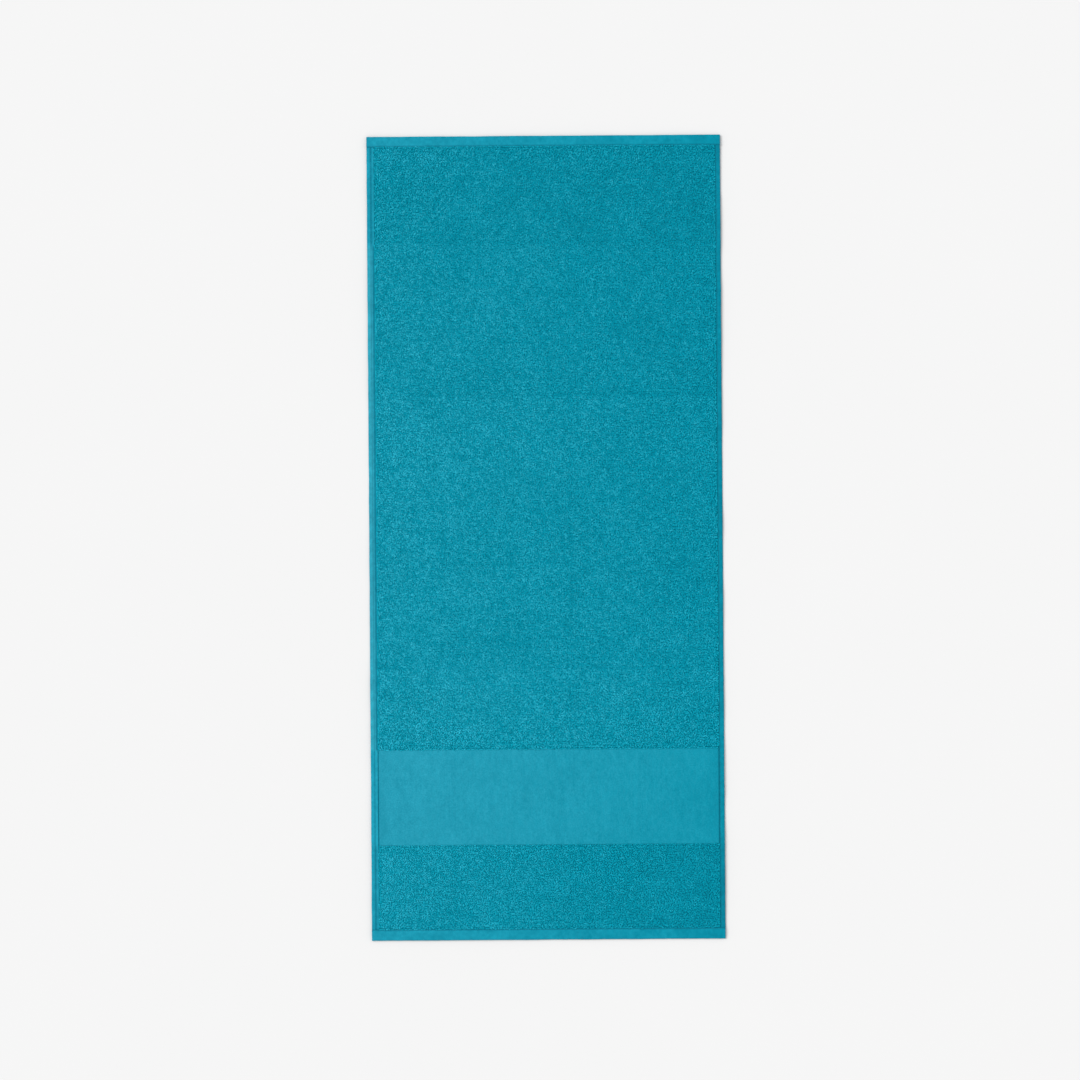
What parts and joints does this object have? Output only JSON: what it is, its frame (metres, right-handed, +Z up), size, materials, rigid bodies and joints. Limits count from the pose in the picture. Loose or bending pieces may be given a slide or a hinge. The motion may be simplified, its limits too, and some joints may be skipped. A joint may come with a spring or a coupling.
{
  "type": "bath towel",
  "caption": "Flat terry bath towel with looped pile on both faces, a smooth flat-woven border near one end and folded, stitched hems on all sides.",
  "frame": {"origin": "middle of the underside, on the surface the towel lies on", "axes": "+Z up out of the front face, +Y along the towel to its plain end, away from the border, +X across it"},
  "size_m": [0.61, 1.387, 0.0041],
  "materials": {
    "terry_loops": "cotton terry loops, matt, turquoise",
    "ground_weave": "plain cotton weave under the loops, matt",
    "border_weave": "flat-woven smooth border with a faint rib, slight sheen",
    "hem_weave": "plain flat-woven selvedge folded three thick, matt",
    "sewing_thread": "polyester sewing thread in the towel's colour, slight sheen"
  },
  "bodies": {
    "upper_panel": {"top_hem": "hem_weave", "top_hem_stitching": "sewing_thread", "ground_cloth_upper": "ground_weave", "front_pile_upper": "terry_loops", "back_pile_upper": "terry_loops", "left_side_hem_upper": "hem_weave", "right_side_hem_upper": "hem_weave", "left_side_stitching_upper": "sewing_thread", "right_side_stitching_upper": "sewing_thread"},
    "middle_panel": {"ground_cloth_middle": "ground_weave", "front_pile_middle": "terry_loops", "back_pile_middle": "terry_loops", "left_side_hem_middle": "hem_weave", "right_side_hem_middle": "hem_weave", "left_side_stitching_middle": "sewing_thread", "right_side_stitching_middle": "sewing_thread"},
    "lower_panel": {"ground_cloth_lower": "ground_weave", "front_pile_lower": "terry_loops", "back_pile_lower": "terry_loops", "border_band": "border_weave", "ground_cloth_end": "ground_weave", "front_pile_end": "terry_loops", "back_pile_end": "terry_loops", "left_side_hem_lower": "hem_weave", "right_side_hem_lower": "hem_weave", "left_side_stitching_lower": "sewing_thread", "right_side_stitching_lower": "sewing_thread", "bottom_hem": "hem_weave", "bottom_hem_stitching": "sewing_thread"}
  },
  "joints": [
    {"name": "upper_fold", "type": "hinge", "parent": "middle_panel", "child": "upper_panel", "pos_m": [0, 0.2475, 0.0056], "axis": [1, 0, 0], "range_deg": [0, 179.99]},
    {"name": "lower_fold", "type": "hinge", "parent": "middle_panel", "child": "lower_panel", "pos_m": [0, -0.2245, 0.00795], "axis": [-1, 0, 0], "range_deg": [0, 179.99]}
  ]
}
